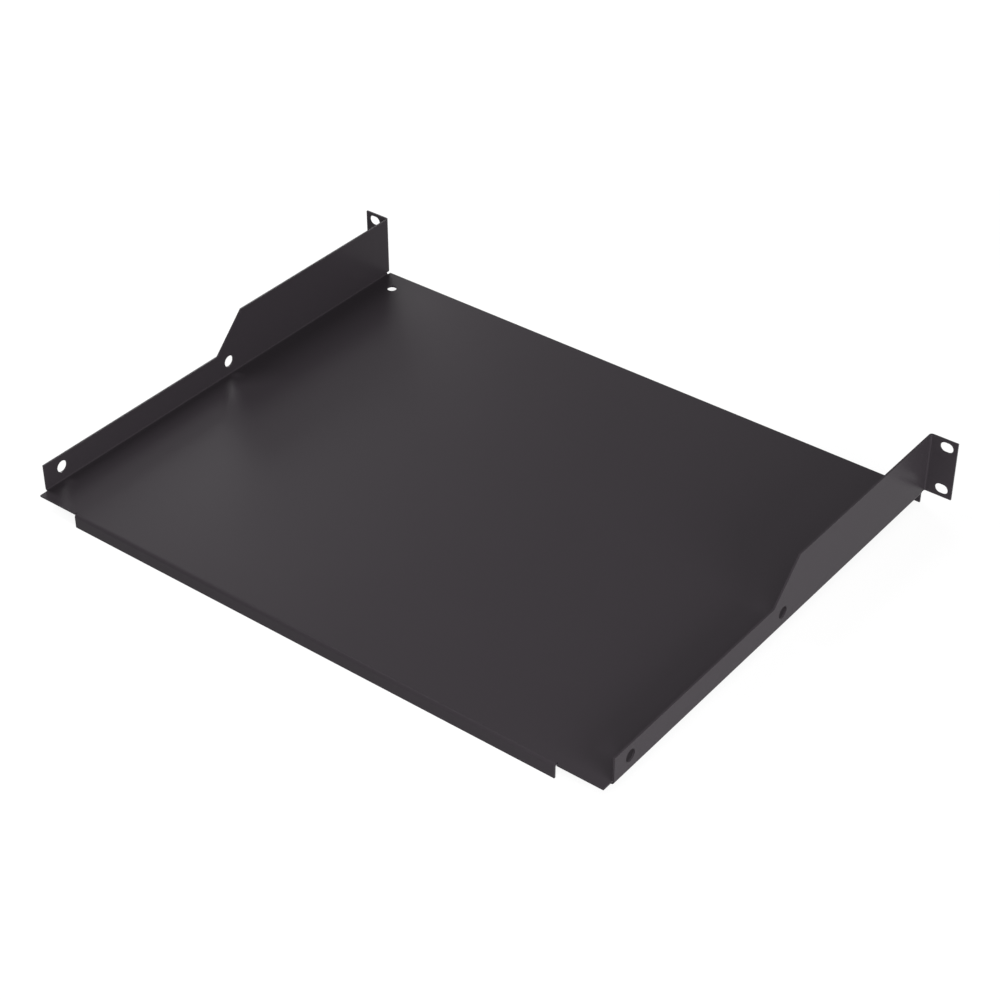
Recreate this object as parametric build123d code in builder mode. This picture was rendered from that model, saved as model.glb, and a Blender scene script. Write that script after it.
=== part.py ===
"""Rack shelf, one rack unit high: a single sheet of steel, cut, punched and folded.

Frame, in mm: the origin is the middle of the four rack slots, on the rear faces of the ears.
+X is to the right for a person in front of the rack, +Y points into the rack and +Z is up.
"""

import os

from build123d import *

# The sheet and its folds
sheet = 1.2  # thickness
bend_radius = 1.0  # inside radius of every fold

# The body
body_width = 445.0  # between the outside faces of the side flanges
body_depth = 350.0  # front faces of the ears to the rear face of the rear lip

# The ears and their slots, which set the height of the shelf
ear_width = 18.8  # outside face of a flange to the edge of its ear
slot_length = 9.3
slot_width = 7.3
slot_spacing = 31.75  # between the two slots of an ear
slot_side_margin = 7.45  # edge of the ear to the middle of its slots
slot_end_margin = 5.675  # top or bottom of the ear to the middle of the nearer slot

# The side flanges
flange_low_height = 19.7  # underside of the pan to the top of the low stretch
flange_high_length = 156.0  # front faces of the ears to the top of the slope
slope_angle = 45.0
flange_rear_gap = 8.0  # rear end of a flange to the rear face of the rear lip
side_hole_diameter = 8.4
side_hole_height = 11.0  # above the underside of the pan
front_side_hole_depth = 171.3  # behind the front faces of the ears
rear_side_hole_margin = 15.0  # ahead of the flange's rear end

# The lips
lip_height = 10.0  # top of the pan to the lower edges of both lips
rear_lip_inset = 32.3  # side edge of the pan to the end of the rear lip
rear_corner_setback = 1.2  # rear face of the rear lip to the pan's rear corners
relief_gap = 0.6  # slits beside the rear lip, and their reach past its fold
front_relief_gap = 1.8  # reach of the front corner notches past the folds

# The holes in the pan's front corners
pan_hole_diameter = 6.9
pan_hole_side_margin = 17.3  # outside face of the flange to the hole
pan_hole_depth = 17.7  # behind the front faces of the ears

# Across the shelf
outer_radius = bend_radius + sheet
half_body = body_width / 2
half_ears = half_body + ear_width
half_pan = half_body - outer_radius  # the pan is flat up to the side folds
half_rear_lip = half_pan - rear_lip_inset

# Up and down
flange_top = slot_spacing / 2 + slot_end_margin
ear_bottom = -flange_top
pan_top = ear_bottom - bend_radius
pan_bottom = pan_top - sheet
lip_bottom = pan_top - lip_height
flange_low_top = pan_bottom + flange_low_height

# From front to rear
front_face = -sheet
front_notch = front_face + outer_radius + front_relief_gap
slope_top = front_face + flange_high_length
rear_face = front_face + body_depth
rear_notch = rear_face - outer_radius - relief_gap
rear_edge = rear_face - rear_corner_setback
flange_rear = rear_face - flange_rear_gap


def folded_section(*outside):
    """Section of a folded strip, whose outside runs through the points with the sheet on its left."""
    with BuildSketch() as section:
        with BuildLine():
            Polyline(*outside)
            offset(amount=sheet, side=Side.LEFT, kind=Kind.INTERSECTION)
        make_face()
        for corner in outside[1:-1]:
            inner_corner = section.vertices().sort_by_distance(corner)[1]
            fillet(inner_corner, bend_radius)
            outer_corner = section.vertices().sort_by_distance(corner)[0]
            fillet(outer_corner, outer_radius)
    return section.sketch


with BuildPart() as shelf_tray:
    # The pan and the flanges folded up at its sides
    with BuildSketch(Plane.XZ.offset(-front_notch)):
        add(
            folded_section(
                (-half_body, flange_top),
                (-half_body, pan_bottom),
                (half_body, pan_bottom),
                (half_body, flange_top),
            )
        )
    extrude(amount=front_notch - flange_rear)

    # Behind the flanges the pan runs on flat, notched for the rear lip
    with BuildSketch(Plane.XY.offset(pan_bottom)):
        with Locations((0, flange_rear)):
            Rectangle(2 * half_pan, rear_edge - flange_rear, align=(Align.CENTER, Align.MIN))
        with Locations((0, rear_notch)):
            notch_size = (2 * (half_rear_lip + relief_gap), rear_edge - rear_notch)
            Rectangle(*notch_size, align=(Align.CENTER, Align.MIN), mode=Mode.SUBTRACT)
    extrude(amount=sheet)

    # The rear lip, folded down from the notch and narrower than it by a slit at each end
    with BuildSketch(Plane.YZ):
        add(folded_section((rear_face, lip_bottom), (rear_face, pan_top), (rear_notch, pan_top)))
    extrude(amount=half_rear_lip, both=True)

    # The front lip, folded down along the whole flat width of the pan
    with BuildSketch(Plane.YZ):
        add(folded_section((front_notch, pan_top), (front_face, pan_top), (front_face, lip_bottom)))
    extrude(amount=half_pan, both=True)

    # The ears, folded outwards from the front ends of the flanges
    with BuildSketch(Plane.XY.offset(ear_bottom)):
        inner_face = half_body - sheet
        add(folded_section((inner_face, front_notch), (inner_face, front_face), (half_ears, front_face)))
        mirror(about=Plane.YZ)
    extrude(amount=flange_top - ear_bottom)

    # The flanges step down over a slope to their low stretch
    with BuildSketch(Plane.YZ):
        with BuildLine():
            step = flange_top - flange_low_top
            slope = PolarLine((slope_top, flange_top), step, -slope_angle, length_mode=LengthMode.VERTICAL)
            Polyline(slope @ 1, (flange_rear, flange_low_top), (flange_rear, flange_top), slope @ 0)
        make_face()
    extrude(amount=half_body, both=True, mode=Mode.SUBTRACT)

    # Two round holes along the foot of each flange
    with BuildSketch(Plane.YZ):
        side_hole_z = pan_bottom + side_hole_height
        front_side_hole = (front_face + front_side_hole_depth, side_hole_z)
        rear_side_hole = (flange_rear - rear_side_hole_margin, side_hole_z)
        with Locations(front_side_hole, rear_side_hole):
            Circle(side_hole_diameter / 2)
    extrude(amount=half_body, both=True, mode=Mode.SUBTRACT)

    # A round hole in each front corner of the pan
    with BuildSketch(Plane.XY.offset(pan_bottom)):
        with Locations((0, front_face + pan_hole_depth)):
            with GridLocations(body_width - 2 * pan_hole_side_margin, 0, 2, 1):
                Circle(pan_hole_diameter / 2)
    extrude(amount=sheet, mode=Mode.SUBTRACT)

    # Two rack slots in each ear
    with BuildSketch(Plane.XZ):
        with GridLocations(2 * (half_ears - slot_side_margin), slot_spacing, 2, 2):
            SlotOverall(slot_length, slot_width)
    extrude(amount=sheet, mode=Mode.SUBTRACT)

shelf_tray.part.label = "shelf_tray"

os.makedirs("parts", exist_ok=True)
export_step(shelf_tray.part, "parts/shelf_tray.step")
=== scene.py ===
"""Rack shelf, one rack unit high: a single folded sheet of steel under a satin, near-black powder coat."""

import math

import bmesh
import bpy
from mathutils import Matrix, Vector

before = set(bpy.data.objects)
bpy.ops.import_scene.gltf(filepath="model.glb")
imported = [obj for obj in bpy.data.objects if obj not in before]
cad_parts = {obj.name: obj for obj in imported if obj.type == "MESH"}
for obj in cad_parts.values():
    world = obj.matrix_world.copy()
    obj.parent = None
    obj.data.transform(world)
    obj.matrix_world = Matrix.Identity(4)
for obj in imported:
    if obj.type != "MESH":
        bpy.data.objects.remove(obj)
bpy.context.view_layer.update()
scene = bpy.context.scene


# The camera stands behind the shelf and above it, off its left-hand flange, and looks down across
# the pan to the ears. It has a portrait lens on a full-size sensor.
camera_place = Vector((-0.739841, 1.111938, 0.853249))
camera_right = Vector((-0.791433, -0.611256, -0.000182))
camera_up = Vector((0.362857, -0.470055, 0.804601))

camera = bpy.data.objects.new("camera", bpy.data.cameras.new("camera"))
scene.collection.objects.link(camera)
axes = Matrix((camera_right, camera_up, camera_right.cross(camera_up))).transposed()
camera.matrix_world = Matrix.Translation(camera_place) @ axes.to_4x4()
camera.data.sensor_width = 36.0
camera.data.lens = 83.70
camera.data.clip_start = 0.05
camera.data.clip_end = 100.0
scene.camera = camera


# The shelf tray is cut and punched from 1.2 mm steel sheet, folded up at the sides, down at the
# front and rear and out at the ears. Powder is sprayed on it dry and baked, which leaves an even,
# near-black satin skin with a very fine ripple.
class Socket:
    """A socket of a material's nodes. Arithmetic on it adds Math nodes."""

    def __init__(self, tree, output=None):
        self.tree = tree
        self.output = output

    def node(self, kind, settings=(), inputs=()):
        """A new node. Its settings come first, then its sockets' values or links, by name or place."""
        made = self.tree.nodes.new(kind)
        for name, value in dict(settings).items():
            setattr(made, name, value)
        for name, value in dict(inputs).items():
            if isinstance(value, Socket):
                self.tree.links.new(value.output, made.inputs[name])
            else:
                made.inputs[name].default_value = value
        return made

    def take(self, output, kind, settings=(), inputs=()):
        """A new node's output, as a Socket."""
        return Socket(self.tree, self.node(kind, settings, inputs).outputs[output])

    def math(self, operation, first, second):
        return self.take("Value", "ShaderNodeMath", {"operation": operation}, {0: first, 1: second})

    def __add__(self, other):
        return self.math("ADD", self, other)

    __radd__ = __add__

    def __mul__(self, other):
        return self.math("MULTIPLY", self, other)

    __rmul__ = __mul__


def empty_material(name):
    """A material with no nodes yet but its output, and a Socket to add them through."""
    material = bpy.data.materials.new(name)
    material.use_nodes = True
    material.node_tree.nodes.clear()
    nodes = Socket(material.node_tree)
    return material, nodes, nodes.node("ShaderNodeOutputMaterial")


coat_colour = Vector((0.0367, 0.0317, 0.0365))
coat_unevenness = 0.03  # of the colour, either way
coat_roughness = 0.31
roughness_unevenness = 0.02  # either way
coat_gloss = 0.036
clouds_per_metre = 9.0
ripple_per_metre = 700.0
grain_per_metre = 3200.0
grain_height = 0.3  # of the ripple's
relief_height = 0.00001
relief_strength = 0.3

powder_coat, nodes, output = empty_material("satin_powder_coat")
place = nodes.take("Object", "ShaderNodeTexCoord")
clouds, ripple, grain = (
    nodes.take("Fac", "ShaderNodeTexNoise", (), {"Vector": place, "Scale": scale, "Detail": detail})
    for scale, detail in ((clouds_per_metre, 3.0), (ripple_per_metre, 2.0), (grain_per_metre, 1.0))
)
tint = nodes.take(
    "Result",
    "ShaderNodeMix",
    {"data_type": "RGBA"},
    {
        "Factor": clouds,
        "A": (*(coat_colour * (1 - coat_unevenness)), 1.0),
        "B": (*(coat_colour * (1 + coat_unevenness)), 1.0),
    },
)
height = ripple + grain * grain_height
relief = nodes.take(
    "Normal",
    "ShaderNodeBump",
    (),
    {"Strength": relief_strength, "Distance": relief_height, "Height": height},
)
roughness = clouds * (2 * roughness_unevenness) + (coat_roughness - roughness_unevenness)
skin = nodes.take(
    "BSDF",
    "ShaderNodeBsdfPrincipled",
    (),
    {
        "Base Color": tint,
        "Roughness": roughness,
        "Specular IOR Level": coat_gloss,
        "Normal": relief,
    },
)
nodes.tree.links.new(skin.output, output.inputs["Surface"])

shelf_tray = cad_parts["shelf_tray"]
for material_slot in shelf_tray.material_slots:
    material_slot.material = powder_coat


# The floor is a sheet of plain white paper, level with the lower edges of the two lips, which the
# shelf stands on. It shows as white to the camera and in the coat's gloss, under the shelf's faint
# shadow, and as an even white farther off, where neither the shadow nor the lamps reach.
def seen_rays(nodes):
    """1 for the rays that show a thing, straight, mirrored or through glass, and 0 for its light."""
    ray = nodes.node("ShaderNodeLightPath")
    kinds = ("Is Camera Ray", "Is Glossy Ray", "Is Transmission Ray")
    straight, mirrored, through = (Socket(nodes.tree, ray.outputs[kind]) for kind in kinds)
    return straight + mirrored + through


floor_height = -0.03255
floor_size = 40.0
paper_colour = (0.85, 0.85, 0.85, 1.0)
glow_strength = 1.1
near_glow = 0.80  # of what the camera sees of the paper, the rest is its own light and shade
near_distance = 0.45  # from the shelf's middle
far_glow = 0.92
far_distance = 0.90
shelf_middle = (0.0, 0.175, floor_height)

paper_shape = bmesh.new()
bmesh.ops.create_grid(paper_shape, x_segments=1, y_segments=1, size=floor_size / 2)
bmesh.ops.translate(paper_shape, verts=paper_shape.verts, vec=(0.0, 0.0, floor_height))
floor = bpy.data.objects.new("floor", bpy.data.meshes.new("floor"))
paper_shape.to_mesh(floor.data)
paper_shape.free()
scene.collection.objects.link(floor)

paper, nodes, output = empty_material("white_paper")
matt = nodes.take("BSDF", "ShaderNodeBsdfDiffuse", (), {"Color": paper_colour})
glow = nodes.take("Emission", "ShaderNodeEmission", (), {"Strength": glow_strength})
place = nodes.take("Object", "ShaderNodeTexCoord")
distance = nodes.take(
    "Value",
    "ShaderNodeVectorMath",
    {"operation": "DISTANCE"},
    {0: place, 1: shelf_middle},
)
glow_here = nodes.take(
    "Result",
    "ShaderNodeMapRange",
    {"interpolation_type": "SMOOTHSTEP"},
    {
        "Value": distance,
        "From Min": near_distance,
        "From Max": far_distance,
        "To Min": near_glow,
        "To Max": far_glow,
    },
)
glowing = seen_rays(nodes) * glow_here
sheet = nodes.take("Shader", "ShaderNodeMixShader", (), {0: glowing, 1: matt, 2: glow})
nodes.tree.links.new(sheet.output, output.inputs["Surface"])
floor.data.materials.append(paper)


# The room is white wherever it is seen. The light comes from five soft boxes that face the shelf,
# and the long one draws the light line along the rear fold.
room = bpy.data.worlds.new("white_room")
room.use_nodes = True
scene.world = room
nodes = Socket(room.node_tree)
background = room.node_tree.nodes["Background"]
background.inputs["Color"].default_value = (1.0, 1.0, 1.0, 1.0)
nodes.tree.links.new(seen_rays(nodes).output, background.inputs["Strength"])

soft_box_distance = 1.6
aim = Vector((0.0, 0.17, -0.01))
soft_boxes = {
    # name: degrees from the shelf's right towards its rear, degrees up, width, length, brightness
    "side_box": (160, 14, 0.9, 0.9, 10.5),
    "rear_box": (122, 42, 1.2, 1.2, 4.1),
    "far_box": (-30, 20, 1.2, 1.2, 1.5),
    "far_spot": (-35, 12, 0.5, 0.5, 18.0),
    "strip_box": (8, 55, 0.25, 1.0, 18.0),
}
for name, (around, up, width, length, brightness) in soft_boxes.items():
    around, up = math.radians(around), math.radians(up)
    towards = Vector((math.cos(around) * math.cos(up), math.sin(around) * math.cos(up), math.sin(up)))
    box = bpy.data.objects.new(name, bpy.data.lights.new(name, "AREA"))
    box.data.shape = "ELLIPSE"
    box.data.size = width
    box.data.size_y = length
    area = math.pi * width * length / 4
    box.data.energy = brightness * math.pi * area
    box.location = aim + towards * soft_box_distance
    box.rotation_mode = "QUATERNION"
    box.rotation_quaternion = towards.to_track_quat("Z", "Y")
    scene.collection.objects.link(box)

scene.view_settings.view_transform = "Standard"
